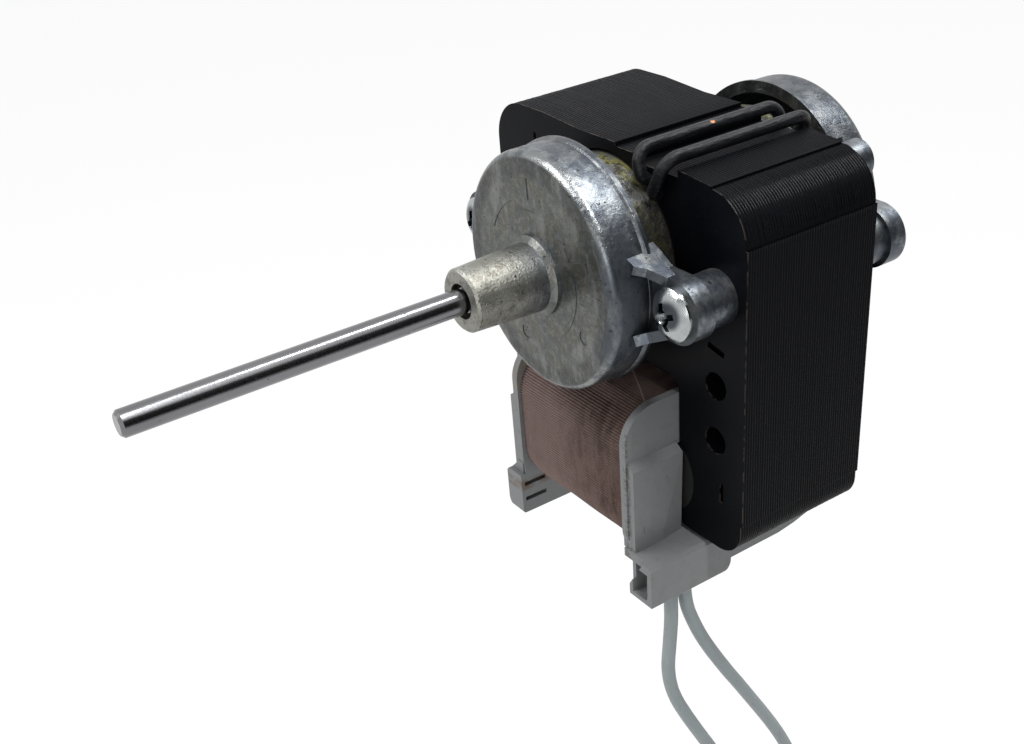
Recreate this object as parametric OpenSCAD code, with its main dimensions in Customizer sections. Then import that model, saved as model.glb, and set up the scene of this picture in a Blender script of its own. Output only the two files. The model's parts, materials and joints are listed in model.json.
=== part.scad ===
// Shaded-pole condenser fan motor, skeleton frame, millimetres.
// Shaft axis along Y, shaft tip towards -Y, Z up, origin on the shaft axis
// in the plane of the rear bracket's two mounting faces.

/* [Stack] */
// width of the stator stack across both legs
stack_width = 61; // [40:0.5:120]
// depth of the stack along the shaft
stack_depth = 25.5; // [10:0.5:60]
// height of the crown above the shaft axis
crown_z = 18.2; // [17.5:0.1:24]
// height of the right shoulder above the shaft axis
shoulder_z = 16.7; // [15:0.1:18]
// depth of the leg feet below the shaft axis
leg_drop = 44.5; // [38:0.5:70]
// width of one leg
leg_width = 14.6; // [8:0.1:24]
// depth of the pole underside below the shaft axis
pole_drop = 17.2; // [16.6:0.1:20]
// radius of the rotor bore
bore_r = 15.8; // [8:0.1:17]
// step between the flush sides and the ribbed corners
edge_step = 0.35; // [0.1:0.05:0.8]

/* [Leg holes] */
// radius of the four free holes in the legs
leg_hole_r = 2.3; // [1:0.1:3]
// distance of the leg holes from the leg's outer side
leg_hole_inset = 6.2; // [4:0.1:9]
// drop of the upper leg hole below the shaft axis
leg_hole_drop = 15.1; // [12:0.1:20]
// spacing of the two holes in a leg
leg_hole_pitch = 9.6; // [7:0.1:15]

/* [Shading rings] */
// thickness of the copper ring wire
ring_wire = 2; // [1.5:0.1:2.1]
// bend radius of the ring's outer corners, on the wire's centre line
bend_r = 2.4; // [1.6:0.1:2.6]
// play of the ring wire in its slot
ring_play = 0.08; // [0.02:0.01:0.2]

/* [Coil] */
// drop of the coil core bar below the shaft axis
bar_drop = 35.5; // [34:0.1:38]
// height of the coil core bar
bar_height = 12.4; // [8:0.1:13]
// wall of the bobbin tube
tube_wall = 1.2; // [0.8:0.1:2]
// thickness of a bobbin flange
flange_wall = 1.4; // [1:0.1:1.6]
// reach of the flanges in front of and behind the stack
flange_reach = 10.9; // [6:0.1:16]
// thickness of the cloth tape
tape_wall = 0.4; // [0.2:0.05:0.8]

/* [Brackets] */
// height of the bracket posts over the stack
post_h = 8; // [6:0.1:12]
// radius of the cup's rim bead
cup_rim_r = 19.5; // [19.3:0.1:21]
// radius of the cup's wall
cup_face_r = 19.1; // [18.9:0.1:20]
// rounding of the cup's front edge
cup_edge_r = 1.6; // [0.6:0.1:2.4]
// distance of the cup face from the stack
cup_face_h = 14.65; // [13.8:0.05:18]
// radius of the round ears
ear_r = 4.9; // [4.5:0.1:5.4]
// radius of the posts under the ears
post_r = 4.2; // [3.4:0.1:4.8]
// distance of each through screw from the stack's side
screw_inset = 5.8; // [4.5:0.1:8]
// radius of the mounting holes in the rear ears
mount_hole_r = 1.8; // [1.2:0.05:2]
// end of the front nose, from the stack
nose_end = 28.4; // [24:0.1:40]
// radius of the nose at its end
nose_r = 5; // [4.5:0.05:6]
// radius of the open bore at the nose's end
nose_bore_r = 2.8; // [2.3:0.05:3.2]

/* [Shaft and rotor] */
// diameter of the shaft
shaft_d = 4; // [3:0.05:4.2]
// depth of the relief groove where the shaft leaves the nose
relief_depth = 0.25; // [0.2:0.05:0.5]
// free end of the shaft, from the front of the stack
shaft_reach = 81.9; // [40:0.1:160]
// air gap between rotor and bore
air_gap = 0.35; // [0.2:0.05:0.6]
// radial play of the shaft in a sleeve bearing
bearing_play = 0.03; // [0.015:0.005:0.06]
// length of the rotor end rings
end_ring_h = 5.2; // [3:0.1:6]
// number of cage bars
bar_count = 17; // [9:1:31]
// end play of the rotor at each bearing
end_play = 0.1; // [0.05:0.05:0.3]

/* [Screws] */
// thread diameter of the through screws
screw_d = 4; // [3:0.5:4]
// radius of the pan head
head_r = 4.1; // [3.5:0.1:4.5]
// height of the pan head
head_h = 2.5; // [1.8:0.1:3]

/* [Leads] */
// diameter of a lead's insulation
lead_d = 2.4; // [2:0.1:2.6]

/* [Hidden] */
$fn = 64;
half_w = stack_width / 2;
rear_y = -post_h;
front_y = rear_y - stack_depth;
leg_in = half_w - leg_width;
shaft_r = shaft_d / 2;
screw_clear_r = screw_d / 2 + 0.2;
tap_r = screw_d / 2 - 0.3;
wire_r = ring_wire / 2;
slot_r = wire_r + ring_play;
rotor_r = bore_r - air_gap;
screw_x = half_w - screw_inset;
leg_hole_x = half_w - leg_hole_inset;
shoulder_x = half_w - 7.5;
crown_corner = 7;
bearing_r = 3.9;
wick_r = 7.3;
wick_h1 = cup_face_h - 1.85;
wick_h0 = wick_h1 - 2.4;
clip_r = 8.6;
clip_h = wick_h0 - 0.6;
hub_h = clip_h - 0.6;
bearing_h = clip_h + 0.2;
bearing_end = cup_face_h + 5;
rear_bearing_end = cup_face_h + 2.4;
rear_shaft_end = cup_face_h + 2.6;
rear_boss_end = cup_face_h + 4.2;
spacer_h = bearing_h - 0.8;
screw_grip = 4.4;
lug = [-19.2, 10.4];
lug_r = 3.2;
notch_x = [6.2, 16];
notch_floor = bore_r - 0.15;
step_x = 1.6;
strip_z = 16.9;
crown_end_z = crown_z - 0.65;
tight_r = wire_r + 0.3;
outer_a = [8.4, notch_floor + 1.65 + wire_r];
outer_b = [14.9, notch_floor + 1.55 + wire_r];
lower_b = [12.3, notch_floor + 1 + wire_r];
slot_ring = bore_r + wire_r;
inner_a = slot_ring * [cos(55.5), sin(55.5)];
inner_b = slot_ring * [cos(46), sin(46)];
tube_gap = 0.25;
coil_mid = 34;
coil_half = 13.4;
coil_reach = flange_reach - 0.5;
flange_in = leg_in - 0.3 - flange_wall;
flange_top = -19.8;
flange_bottom = -48;
box_front = -11.7;
box_rear = 5.5;
box_top = -45.3;
box_floor = -53.5;
box_in = flange_in + 2.5;
box_out = flange_in + 8.1;
foot_out = flange_in + 4.5;
cav_floor = box_floor + 1.2;
term_x = flange_in + 4.8;
term_y = [-4.9, -1.9];
// lead routes from the terminal: right, back from the stack's front face, up
route_a = [[0, -4.9, 0], [0, -4.9, -4.2], [0, -4.9, -8.7], [0, -5.3, -13.7], [0, -5.7, -18.7],
  [0, -5.2, -23.2], [0, -3.9, -27.5], [0.1, -2, -31.9], [0.2, 0, -36.1], [0.2, 2, -40.1],
  [0.3, 4, -44.1], [0.4, 6.1, -48.7], [0.6, 7.9, -53.7], [0.8, 9.2, -59.1], [1, 10.1, -64.7],
  [1.1, 10.7, -70.7], [1.1, 11, -76.7], [1.1, 11.1, -82.7], [1, 11.1, -95.7], [1, 11.1, -108.7],
  [1, 11.1, -121.7], [1, 11.1, -134.7], [1, 11.1, -145.2]];
route_b = [[0, -1.9, 0], [0, -1.9, -3.7], [0, -1.3, -7.6], [0, 0.1, -11.7], [0, 1.8, -15.7],
  [0, 3.8, -19.7], [0, 6, -23.7], [0, 8.4, -27.9], [0, 10.8, -31.9], [0, 13.2, -36],
  [0, 15.6, -40.1], [0.1, 18, -44.3], [0.2, 20.4, -48.7], [0.3, 22.6, -53.1], [0.4, 24.6, -57.7],
  [0.6, 26.4, -62.7], [0.8, 27.8, -67.9], [1, 28.8, -73.5], [1.1, 29.4, -79.3], [1.1, 29.7, -85.3],
  [1.1, 29.8, -91.7], [1, 29.8, -103.7], [1, 29.8, -115.7], [1, 29.8, -127.7], [1, 29.8, -139.7]];

// extrudes an X-Z outline from h0 to h1 in front of the stack's front face
module slab(h0, h1) {
  translate([0, front_y - h0, 0]) rotate([90, 0, 0]) linear_extrude(h1 - h0) children();
}

// round bar along Y from h0 to h1 in front of the stack's front face
module rod(r, h0, h1, x = 0, z = 0) {
  translate([x, front_y - h0, z]) rotate([90, 0, 0]) cylinder(r = r, h = h1 - h0);
}

// turns a front part round to the rear
module rear() {
  translate([0, front_y + rear_y, 0]) rotate([0, 0, 180]) children();
}

// half turn about the shaft axis
module half_turn() {
  rotate([0, 180, 0]) children();
}

// material outside a rounded corner, centre c, radius r, facing signs s
module corner(c, r, s) {
  translate(c) difference() {
    translate([s[0] > 0 ? 0 : -r - 2, s[1] > 0 ? 0 : -r - 2]) square(r + 2);
    circle(r = r);
  }
}

// space over the crown's low end and the notch for the rings' outer sides
module notch() {
  polygon([[-17, crown_z + 1], [-17, crown_z], [-7, crown_end_z - 0.05], [step_x, crown_end_z],
    [step_x, strip_z], [notch_x[0], strip_z], [notch_x[0], notch_floor],
    [notch_x[1], notch_floor], [notch_x[1], shoulder_z], [shoulder_x, shoulder_z - 0.6],
    [shoulder_x, shoulder_z - 0.6 - edge_step], [half_w + 1, shoulder_z - 0.6 - edge_step],
    [half_w + 1, crown_z + 1]]);
}

module ring_slots() {
  for (p = [inner_a, inner_b]) {
    translate(p) circle(r = slot_r);
    rotate(atan2(p[1], p[0])) translate([bore_r - 1, -0.9]) square([1.6, 1.8]);
  }
}

module bar_outline(play) {
  translate([0, -bar_drop]) intersection() {
    union() {
      for (s = [-1, 1]) translate([s * (leg_in - 4.7), 0]) circle(r = 8 + play);
      translate([4.7 - leg_in, -8]) square([2 * leg_in - 9.4, 16]);
    }
    translate([-half_w, -bar_height / 2 - play]) square([stack_width, bar_height + 2 * play]);
  }
}

module stack_outline() {
  difference() {
    translate([-half_w, -leg_drop]) square([stack_width, leg_drop + crown_z]);
    notch();
    corner([shoulder_x, 8.6], 7.5 - edge_step, [1, 1]);
    translate([half_w - edge_step, 8.5]) square([2, 12]);
    corner([crown_corner - half_w, crown_z - crown_corner], crown_corner, [-1, 1]);
    for (s = [-1, 1]) {
      corner([s * (half_w - 5 - edge_step), 5 - leg_drop], 5, [s, -1]);
      translate([s * (half_w + 1 - edge_step) - 1, -leg_drop - 1]) square([2, 7.5]);
      corner([s * (leg_in + 1), 1 - leg_drop], 1, [-s, -1]);
    }
    difference() {
      translate([-leg_in, -leg_drop - 1]) square([2 * leg_in, leg_drop + 1 - pole_drop]);
      for (s = [-1, 1]) corner([s * (leg_in - 2.5), -pole_drop - 2.5], 2.5, [s, 1]);
    }
    rotate(180) polygon([[step_x, pole_drop + 1], [step_x, strip_z],
      [notch_x[0], strip_z], [notch_x[0], notch_floor], [14, notch_floor], [14, pole_drop + 1]]);
    circle(r = bore_r);
    ring_slots();
    rotate(180) ring_slots();
    bar_outline(0.04);
    for (s = [-1, 1]) {
      translate([s * screw_x, 0]) circle(r = screw_clear_r);
      for (i = [0, 1]) translate([s * leg_hole_x, -leg_hole_drop - i * leg_hole_pitch]) circle(r = leg_hole_r);
    }
  }
}

// staking marks pressed into the front sheet
module stakes() {
  slab(-0.6, 1) {
    translate([leg_hole_x, -8.9]) rotate(-12) translate([-1.8, -0.5]) square([3.6, 1]);
    translate([half_w - 5.1, -35.5]) square([0.8, 3.4]);
    translate([10.5 - half_w, 11.5]) square([0.7, 2.8]);
    translate([5.9 - half_w, -35.5]) square([0.8, 3.4]);
  }
}

module stator_core() {
  color("#17181b") difference() {
    slab(-stack_depth, 0) stack_outline();
    stakes();
  }
}

module coil_core() {
  color("#4a4844") slab(-stack_depth, 0) bar_outline(0);
}

// rounded section across X, front and rear reach y, top and bottom z
module sleeve(x0, x1, reach, z0, z1, r) {
  translate([x0, 0, 0]) rotate([90, 0, 90]) linear_extrude(x1 - x0) difference() {
    translate([front_y - reach, z0]) square([stack_depth + 2 * reach, z1 - z0]);
    for (i = [[front_y - reach + r, -1], [rear_y + reach - r, 1]]) {
      corner([i[0], z1 - r], r, [i[1], 1]);
      corner([i[0], z0 + r], r, [i[1], -1]);
    }
  }
}

module bar_space(grow, x) {
  h = bar_height / 2 + grow;
  translate([-x, front_y - grow, -bar_drop - h]) cube([2 * x, stack_depth + 2 * grow, 2 * h]);
}

module flange() {
  face = flange_in + flange_wall + 1.5;
  sleeve(flange_in, flange_in + flange_wall, flange_reach, flange_bottom, flange_top, 6.3);
  // thick pad in front of the leg, sloped ledge on top, one slanted facet
  difference() {
    translate([flange_in, front_y, 0]) rotate([90, 0, 0]) translate([0, 0, 0.4])
      linear_extrude(flange_reach - 0.7) polygon([[0, box_top], [0, -28.8], [flange_wall, -28.8],
        [flange_wall + 1.5, -29.9], [flange_wall + 1.5, box_top]]);
    translate([face, front_y - 1.3, -33.2]) rotate([-17.9, 0, 0]) rotate([0, 0, 7]) translate([0, 0, -18])
      cube([4, 9, 24]);
  }
}

// box under a flange, x from a to b; rise lifts its top at the flange, r rounds its lower outer edge
module bobbin_box(a, b, rise, r) {
  reach = flange_reach + 0.8;
  y0 = front_y - reach;
  difference() {
    union() {
      translate([a, 0, 0]) rotate([90, 0, 90]) linear_extrude(b - a) difference() {
        translate([y0, box_floor]) square([reach + box_rear, box_top - box_floor]);
        corner([front_y + box_rear - 2.2, box_floor + 2.2], 2.2, [1, -1]);
        corner([y0 + 0.6, box_floor + 0.6], 0.6, [-1, -1]);
      }
      // top carried over to the flange, before and under the leg
      slab(0.4, flange_reach) polygon([[flange_in + 0.4, box_top - 1.6], [flange_in + 0.4, box_top + rise],
        [flange_in + flange_wall + 1, box_top + rise], [b - 0.5, box_top - 0.1], [b - 0.5, box_top - 1.6]]);
      translate([flange_in + 0.4, y0 + 0.8, box_top - 1.6]) cube([a - flange_in + 1, reach - 0.8 + box_rear, 1.6]);
    }
    translate([b, y0 - 1, box_top - 0.6]) rotate([0, -45, 0]) cube([4, 40, 4]);
    slab(-box_rear - 1, reach + 1) corner([b - r, box_floor + r], r, [1, -1]);
  }
}

// wall and roof that run on behind the terminal box, under the leg
module leg_tray() {
  translate([box_out - 1.4, 0, 0]) rotate([90, 0, 90]) linear_extrude(1.3) translate([front_y, box_top])
    polygon([[box_rear - 0.5, 0], [box_rear - 0.5, -5.7], [16.5, -5.6], [20, -5.1], [23.5, -4.2], [25.6, -3],
      [26.2, -1.6], [26.2, 0]]);
  translate([flange_in + 0.4, front_y + box_rear - 0.5, box_top - 1.1])
    cube([box_out - flange_in - 0.6, 26.2 - box_rear + 0.5, 1.1]);
}

module bobbin() {
  color("#e4e2d6") difference() {
    union() {
      sleeve(-flange_in - 0.1, flange_in + 0.1, tube_gap + tube_wall, -bar_drop - bar_height / 2 - tube_gap - tube_wall,
        -bar_drop + bar_height / 2 + tube_gap + tube_wall, 1);
      flange();
      mirror([1, 0, 0]) flange();
      bobbin_box(box_in, box_out, 0, 0.6);
      mirror([1, 0, 0]) bobbin_box(flange_in, foot_out, 2.4, 1.8);
      leg_tray();
    }
    bar_space(tube_gap, leg_in + 4);
    // terminal chamber, open to the front
    slab(1.2 - box_rear, flange_reach + 2) difference() {
      translate([box_in + 0.8, cav_floor]) square([box_out - box_in - 1.8, box_top - 1.6 - cav_floor]);
      corner([box_out - 1.9, cav_floor + 0.9], 0.9, [1, -1]);
    }
    // slanted upper lip at the chamber's mouth
    slab(flange_reach, flange_reach + 2) polygon([[box_in - 1, box_top - 7.4], [box_in + 3.2, box_top - 0.6],
      [box_in + 3.2, box_top + 1], [box_in - 1, box_top + 1]]);
    for (y = term_y) translate([term_x, front_y + y, box_floor - 1]) cylinder(r = lead_d / 2 + 0.05, h = 3);
    // wire slots on the inner face of the left foot
    for (z = [-47.8, -51]) translate([-flange_in - 1.6, front_y - 11, z]) cube([2, 4.6, 0.8]);
  }
}

module winding() {
  color("#b5652f") difference() {
    sleeve(-flange_in, flange_in, coil_reach - tape_wall, -coil_mid - coil_half + tape_wall,
      -coil_mid + coil_half - tape_wall, 7.6);
    bar_space(tube_gap + tube_wall, flange_in + 1);
  }
}

module coil_tape() {
  color("#c9a79b") difference() {
    sleeve(-flange_in, flange_in, coil_reach, -coil_mid - coil_half, -coil_mid + coil_half, 8);
    sleeve(-leg_in - 4, leg_in + 4, coil_reach - tape_wall, -coil_mid - coil_half + tape_wall,
      -coil_mid + coil_half - tape_wall, 7.6);
  }
}

// closed loop of round wire in the X-Y plane, wide bends at x = 0, tight ones at x = n
module loop(n, y0, y1) {
  for (i = [[0, bend_r], [n, tight_r]])
    translate([i[0], y0 + i[1], 0]) rotate([-90, 0, 0]) cylinder(r = wire_r, h = y1 - y0 - 2 * i[1]);
  for (y = [y0, y1]) translate([bend_r, y, 0]) rotate([0, 90, 0]) cylinder(r = wire_r, h = n - bend_r - tight_r);
  for (c = [[bend_r, y0 + bend_r, 180, bend_r], [n - tight_r, y0 + tight_r, 270, tight_r],
    [n - tight_r, y1 - tight_r, 0, tight_r], [bend_r, y1 - bend_r, 90, bend_r]])
    translate([c[0], c[1], 0]) rotate(c[2]) rotate_extrude(angle = 90) translate([c[3], 0]) circle(r = wire_r);
}

// one shading ring: outer side at a, inner side at b, ends bent over the stack's faces
module shading_ring(a, b) {
  d = b - a;
  translate([a[0], 0, a[1]]) rotate([0, -atan2(d[1], d[0]), 0])
    loop(norm(d), front_y - tight_r, rear_y + tight_r);
}

module shading_upper_tip() { color("#1b1a1a") shading_ring(outer_a, inner_a); }
module shading_upper_body() { color("#1b1a1a") shading_ring(outer_b, inner_b); }
module shading_lower_tip() { color("#1b1a1a") half_turn() shading_ring(outer_a, inner_a); }
module shading_lower_body() { color("#1b1a1a") half_turn() shading_ring(lower_b, inner_b); }

// cup, nose and hub as one turned section: x is radius, y is height over the stack;
// slim takes something off the cup's radius
module cup_section(end, r_end, bore_end, blind, slim) {
  rim = cup_rim_r - slim;
  wall = cup_face_r - slim;
  in_h = cup_face_h - 1.8;
  difference() {
    union() {
      polygon([[0, cup_face_h], [0, 7], [rim, 7], [rim, 7.6], [wall, 8.1],
        [wall, cup_face_h - cup_edge_r], [wall - cup_edge_r, cup_face_h - cup_edge_r],
        [wall - cup_edge_r, cup_face_h]]);
      translate([wall - cup_edge_r, cup_face_h - cup_edge_r]) circle(r = cup_edge_r);
      polygon([[0, in_h - 1], [r_end + 1.4, in_h - 1], [r_end + 1.4, cup_face_h + 0.6],
        [r_end + 0.5, cup_face_h + 1.3], [r_end, end - 0.4], [r_end - 0.4, end], [0, end]]);
    }
    difference() {
      polygon([[-1, 6.6], [rim - 1.9, 6.6], [wall - 1.9, 8.7], [wall - 2, in_h - 1.2],
        [wall - 3.2, in_h], [-1, in_h]]);
      square([clip_r + 1.2, cup_face_h]);
    }
    translate([-1, 0]) square([clip_r + 2.3, hub_h]);
    translate([-1, hub_h - 0.2]) square([clip_r + 1, wick_h0 - hub_h + 0.2]);
    translate([-1, wick_h0 - 0.4]) square([wick_r + 1, wick_h1 - wick_h0 + 0.4]);
    translate([-1, wick_h1 - 0.8]) square([bearing_r + 1, bore_end - wick_h1 + 0.8]);
    translate([-1, wick_h1]) square([nose_bore_r + 1, blind - wick_h1]);
    translate([-50, 0]) square([50, end + 10]);
  }
}

module ear_outline() {
  difference() {
    union() {
      for (s = [-1, 1]) {
        translate([s * screw_x, 0]) circle(r = ear_r);
        polygon([[s * (cup_rim_r - 6.5), 8.6], [s * (cup_rim_r - 2), 6.6], [s * (cup_rim_r + 1), ear_r],
          [s * screw_x, ear_r], [s * screw_x, -ear_r], [s * (cup_rim_r + 1.5), -ear_r],
          [s * (cup_rim_r - 1.5), -6.4], [s * (cup_rim_r - 6.5), -10.6]]);
      }
    }
    circle(r = cup_rim_r - 1.9);
  }
}

// sloped webs from the cup's wall down to the ears
module ear_webs() {
  for (s = [0, 1], t = [0, 1]) mirror([s, 0, 0]) mirror([0, 0, t])
    translate([16.9, front_y, 6.5]) rotate([0, 22, 0]) translate([0, 0, -0.8]) linear_extrude(1.6)
      polygon([[0, -post_h + 1.5], [0, -post_h - 3], [2.3, -post_h - 3], [3.6, -post_h - 1.5], [6.6, -post_h + 0.1],
        [6.6, -post_h + 1.5]]);
}

// shallow marks of the casting die on the front cup: a plateau, a sector, a pad, two pins
module die_plateaus() {
  rod(10.2, cup_face_h - 0.3, cup_face_h + 0.07);
  translate([0, front_y - cup_face_h, 0]) rotate([90, 0, 0]) {
    rotate(94) rotate_extrude(angle = 62) translate([11.9, -0.3]) square([3.2, 0.4]);
    translate([11.2, 4.6, 0]) rotate(17) translate([-2.1, -0.8, -0.3]) cube([4.2, 1.6, 0.5]);
  }
}

module die_pins() {
  for (p = [[-3.9, -11.1], [11.6, -6.6]]) rod(1.15, cup_face_h - 0.1, cup_face_h + 1, p[0], p[1]);
}

// round lug on the rim of the rear casting
module rim_lug() {
  difference() {
    union() {
      translate(lug) circle(r = lug_r);
      rotate(atan2(lug[1], lug[0])) translate([cup_rim_r - 1.9, -lug_r - 0.8]) square([2.4, 2 * lug_r + 1.6]);
    }
    circle(r = cup_rim_r - 1.9);
  }
}

// one casting; its holes have hole_r over the first depth mm and free_r beyond
module bracket(hole_r, depth, free_r, end, r_end, bore_end, blind, slim = 0) {
  difference() {
    union() {
      translate([0, front_y, 0]) rotate([90, 0, 0]) rotate_extrude() cup_section(end, r_end, bore_end, blind, slim);
      slab(4.8, post_h) ear_outline();
      for (s = [-1, 1]) rod(post_r, 0, 6, s * screw_x, 0);
      ear_webs();
    }
    for (s = [-1, 1]) {
      rod(hole_r, -1, depth, s * screw_x, 0);
      rod(free_r, depth - 0.1, post_h + 1, s * screw_x, 0);
    }
  }
}

module front_bracket() {
  color("#a9abad") difference() {
    union() {
      bracket(screw_clear_r, post_h, screw_clear_r, nose_end, nose_r, bearing_end, nose_end + 1);
      difference() {
        die_plateaus();
        rod(nose_r, 0, nose_end);
      }
    }
    die_pins();
  }
}

module rear_bracket() {
  color("#a9abad") rear() {
    slab(4.8, post_h) rim_lug();
    bracket(tap_r, screw_grip + 0.2, mount_hole_r,
      rear_boss_end, 6.2, rear_bearing_end, rear_shaft_end + 0.3, 0.7);
  }
}

module sleeve_bearing(end) {
  color("#a8824e") difference() {
    rod(bearing_r, bearing_h, end);
    rod(shaft_r + bearing_play, bearing_h - 1, end + 1);
  }
}

module oil_wick() {
  color("#8b7d5c") difference() {
    rod(wick_r, wick_h0, wick_h1);
    rod(bearing_r, wick_h0 - 1, wick_h1 + 1);
  }
}

module wick_retainer() {
  color("#8e9296") difference() {
    rod(clip_r, clip_h, wick_h0);
    rod(bearing_r, clip_h - 1, wick_h0 + 1);
  }
}

module front_bearing() { sleeve_bearing(bearing_end); }
module rear_bearing() { rear() sleeve_bearing(rear_bearing_end); }
module front_wick() { oil_wick(); }
module rear_wick() { rear() oil_wick(); }
module front_retainer() { wick_retainer(); }
module rear_retainer() { rear() wick_retainer(); }

module shaft() {
  color("#b9bcc0") {
    difference() {
      rod(shaft_r, -stack_depth - rear_shaft_end, shaft_reach - 0.5);
      difference() {
        rod(shaft_r + 1, nose_end - 0.7, nose_end - 0.1);
        rod(shaft_r - relief_depth, nose_end - 2, nose_end + 2);
      }
    }
    translate([0, front_y - shaft_reach + 0.5, 0]) rotate([90, 0, 0]) cylinder(r1 = shaft_r, r2 = shaft_r - 0.45, h = 0.5);
  }
}

module cage_holes() {
  for (i = [0:bar_count - 1]) rotate(i * 360 / bar_count) translate([rotor_r - 1.9, 0]) circle(r = 1.2);
}

module rotor_core() {
  color("#55524e") slab(-stack_depth, 0) difference() {
    circle(r = rotor_r);
    circle(r = shaft_r);
    cage_holes();
  }
}

module rotor_cage() {
  color("#b3a36a") {
    slab(-stack_depth - 1, 1) cage_holes();
    for (h = [0, -stack_depth - end_ring_h]) difference() {
      rod(rotor_r - 0.15, h, h + end_ring_h);
      rod(9.8, h - 1, h + end_ring_h + 1);
    }
  }
}

module spacer() {
  color("#c9c4b4") difference() {
    rod(3.4, 0, spacer_h);
    rod(shaft_r, -1, spacer_h + 1);
  }
}

module thrust_washer() {
  color("#5b4a36") difference() {
    rod(3.7, spacer_h, bearing_h - end_play);
    rod(shaft_r + 0.02, spacer_h - 0.2, bearing_h + 1);
  }
}

module front_spacer() { spacer(); }
module rear_spacer() { rear() spacer(); }
module front_thrust_washer() { thrust_washer(); }
module rear_thrust_washer() { rear() thrust_washer(); }

module through_screws() {
  color("#c3c6c8") for (s = [-1, 1]) translate([s * screw_x, front_y - post_h, 0]) rotate([90, 0, 0]) difference() {
    union() {
      intersection() {
        cylinder(r = head_r, h = head_h);
        translate([0, 0, head_h - 6.2]) sphere(r = 6.2);
      }
      translate([0, 0, -post_h - stack_depth]) cylinder(r = screw_d / 2, h = post_h + stack_depth + 0.1);
      translate([0, 0, -post_h - stack_depth - screw_grip]) cylinder(r = tap_r - 0.02, h = screw_grip + 1.6);
    }
    for (a = [20, 110]) rotate(a) translate([-2.1, -0.45, head_h - 1.4]) cube([4.2, 0.9, 3]);
    translate([0, 0, head_h - 1.9]) cylinder(r1 = 0.5, r2 = 1.3, h = 2);
  }
}

module terminals() {
  color("#c2a052") for (y = term_y) translate([term_x, front_y + y, cav_floor]) {
    cylinder(r = 1.35, h = 0.8);
    translate([-0.4, -1.3, 0.7]) cube([0.8, 2.6, 3.9]);
  }
}

// swept tube along hand-chosen points, eight sides
function along(p, i) = let (a = p[max(i - 1, 0)], b = p[min(i + 1, len(p) - 1)]) (b - a) / norm(b - a);
function across(d) = let (v = cross(d, [0, 1, 0])) v / norm(v);
function hoop(p, i, r) = let (d = along(p, i), u = across(d), v = cross(d, u))
  [for (k = [0:7]) p[i] + r * (cos(45 * k + 22.5) * u + sin(45 * k + 22.5) * v)];

module lead(route) {
  n = len(route);
  points = [for (i = [0:n - 1]) each hoop(route, i, lead_d / 2)];
  faces = concat([[for (k = [0:7]) k]], [[for (k = [7:-1:0]) (n - 1) * 8 + k]],
    [for (i = [0:n - 2]) for (k = [0:7]) let (m = (k + 1) % 8) [i * 8 + m, i * 8 + k, i * 8 + 8 + k, i * 8 + 8 + m]]);
  color("#c4c9c9") translate([term_x, front_y, cav_floor]) polyhedron(points, faces);
}

module lead_a() { lead(route_a); }
module lead_b() { lead(route_b); }

stator_core();
coil_core();
bobbin();
winding();
coil_tape();
shading_upper_tip();
shading_upper_body();
shading_lower_tip();
shading_lower_body();
front_bracket();
rear_bracket();
front_bearing();
rear_bearing();
front_wick();
rear_wick();
front_retainer();
rear_retainer();
shaft();
rotor_core();
rotor_cage();
front_spacer();
rear_spacer();
front_thrust_washer();
rear_thrust_washer();
through_screws();
terminals();
lead_a();
lead_b();
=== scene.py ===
import json
import math
import random
import bpy
import bmesh
from mathutils import Matrix, Vector, noise


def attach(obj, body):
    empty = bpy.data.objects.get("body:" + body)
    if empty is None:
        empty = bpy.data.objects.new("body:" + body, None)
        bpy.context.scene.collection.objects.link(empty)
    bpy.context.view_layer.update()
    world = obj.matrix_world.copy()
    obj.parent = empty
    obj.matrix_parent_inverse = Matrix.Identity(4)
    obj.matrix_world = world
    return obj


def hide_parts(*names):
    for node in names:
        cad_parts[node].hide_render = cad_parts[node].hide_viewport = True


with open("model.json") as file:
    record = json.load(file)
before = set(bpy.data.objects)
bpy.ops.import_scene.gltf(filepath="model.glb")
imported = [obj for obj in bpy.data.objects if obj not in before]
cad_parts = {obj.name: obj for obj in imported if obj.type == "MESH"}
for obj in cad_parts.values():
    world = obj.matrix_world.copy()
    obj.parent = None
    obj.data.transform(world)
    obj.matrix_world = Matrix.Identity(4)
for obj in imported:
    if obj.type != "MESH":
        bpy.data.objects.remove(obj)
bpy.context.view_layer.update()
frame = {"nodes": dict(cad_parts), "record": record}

scene = bpy.context.scene
random.seed(7)
mm = 0.001

stack = {"front": -33.5, "rear": -8.0}  # the stack's end faces, which the other pieces sit against

camera = {
    "place": (150.95, -148.35, 81.20),
    "forward": (-0.736551, 0.431452, -0.520905),
    "right": (0.548, 0.8317, -0.0866),
    "focal": 1283.5, "centre": (486.9, 443.0), "frame": (1024, 744),
}


def setCamera(c):
    forward = Vector(c["forward"]).normalized()
    right = Vector(c["right"])
    right = (right - right.dot(forward) * forward).normalized()
    up = right.cross(forward)
    data = bpy.data.cameras.new("photoCamera")
    data.sensor_width = 36
    data.lens = c["focal"] / c["frame"][0] * 36
    data.shift_x = (c["frame"][0] / 2 - c["centre"][0]) / c["frame"][0]
    data.shift_y = (c["centre"][1] - c["frame"][1] / 2) / c["frame"][0]
    data.clip_start = 0.01
    data.clip_end = 20
    ob = bpy.data.objects.new("photoCamera", data)
    scene.collection.objects.link(ob)
    turn = Matrix((right, up, -forward)).transposed().to_4x4()
    ob.matrix_world = Matrix.Translation(Vector(c["place"]) * mm) @ turn
    scene.camera = ob


setCamera(camera)
print("camera set")


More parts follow.
